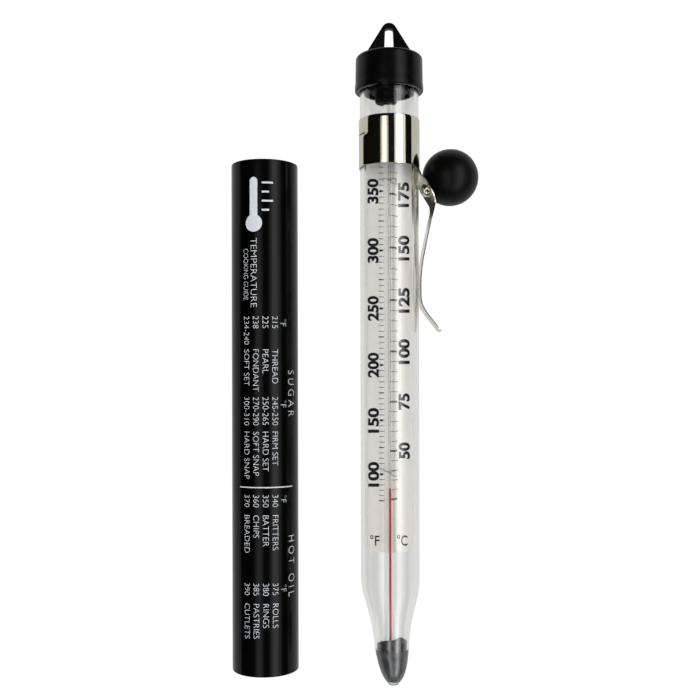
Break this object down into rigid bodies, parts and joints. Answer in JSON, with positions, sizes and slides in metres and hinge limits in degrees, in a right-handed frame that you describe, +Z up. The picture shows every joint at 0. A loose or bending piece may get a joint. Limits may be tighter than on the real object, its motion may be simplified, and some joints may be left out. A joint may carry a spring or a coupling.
{
  "type": "tube thermometer",
  "caption": "Glass tube thermometer with a red spirit column, printed card, sprung pan clip with ball knob and hanging cap, beside its open black sleeve.",
  "frame": {"origin": "on the table, below the middle of the box round the thermometer and its sleeve as they lie side by side", "axes": "+Y along the tube towards the cap, +Z up from the table through the printed face of the card, +X towards the clip's ball knob"},
  "size_m": [0.076, 0.2032, 0.021],
  "materials": {
    "glass": "polished",
    "stem_glass": "polished",
    "cap_plastic": "satin",
    "stopper_rubber": "satin",
    "red_spirit": "gloss",
    "card": "satin",
    "tie_wire": "satin",
    "filling_metal": "rough",
    "clip_steel": "polished",
    "knob_plastic": "satin",
    "screw_steel": "polished",
    "insert_brass": "machined",
    "sleeve_plastic": "gloss"
  },
  "bodies": {
    "thermometer": {"glass_tube": "glass", "cap": "cap_plastic", "cap_plug": "stopper_rubber", "stem_bush": "stopper_rubber", "capillary_stem": "stem_glass", "spirit_bulb": "stem_glass", "bulb_spirit": "red_spirit", "spirit_column": "red_spirit", "scale_card": "card", "upper_tie": "tie_wire", "lower_tie": "tie_wire", "tip_filling": "filling_metal"},
    "spirit_level": {"column_top": "red_spirit"},
    "clip": {"clip_collar": "clip_steel"},
    "sprung_arm": {"clip_arm": "clip_steel", "knob_screw": "screw_steel", "knob_insert": "insert_brass", "ball_knob": "knob_plastic"},
    "cover": {"sleeve": "sleeve_plastic"}
  },
  "joints": [
    {"name": "clip_slide", "type": "slide", "parent": "thermometer", "child": "clip", "axis": [0, 1, 0], "range_m": [-0.088, 0.008]},
    {"name": "clip_arm_flex", "type": "hinge", "parent": "clip", "child": "sprung_arm", "pos_m": [0.01962, 0.05695, 0.0096], "axis": [0.0976, 0, 0.9952], "range_deg": [0, 8], "stiffness_Nm_per_rad": 1, "springref_deg": -2.86},
    {"name": "column_rise", "type": "slide", "parent": "thermometer", "child": "spirit_level", "axis": [0, 1, 0], "range_m": [-0.02, 0.109], "deforming": ["spirit_column"]},
    {"name": "sleeve_slide", "type": "slide", "parent": "thermometer", "child": "cover", "axis": [0, -1, 0], "range_m": [0, 0.16]}
  ]
}
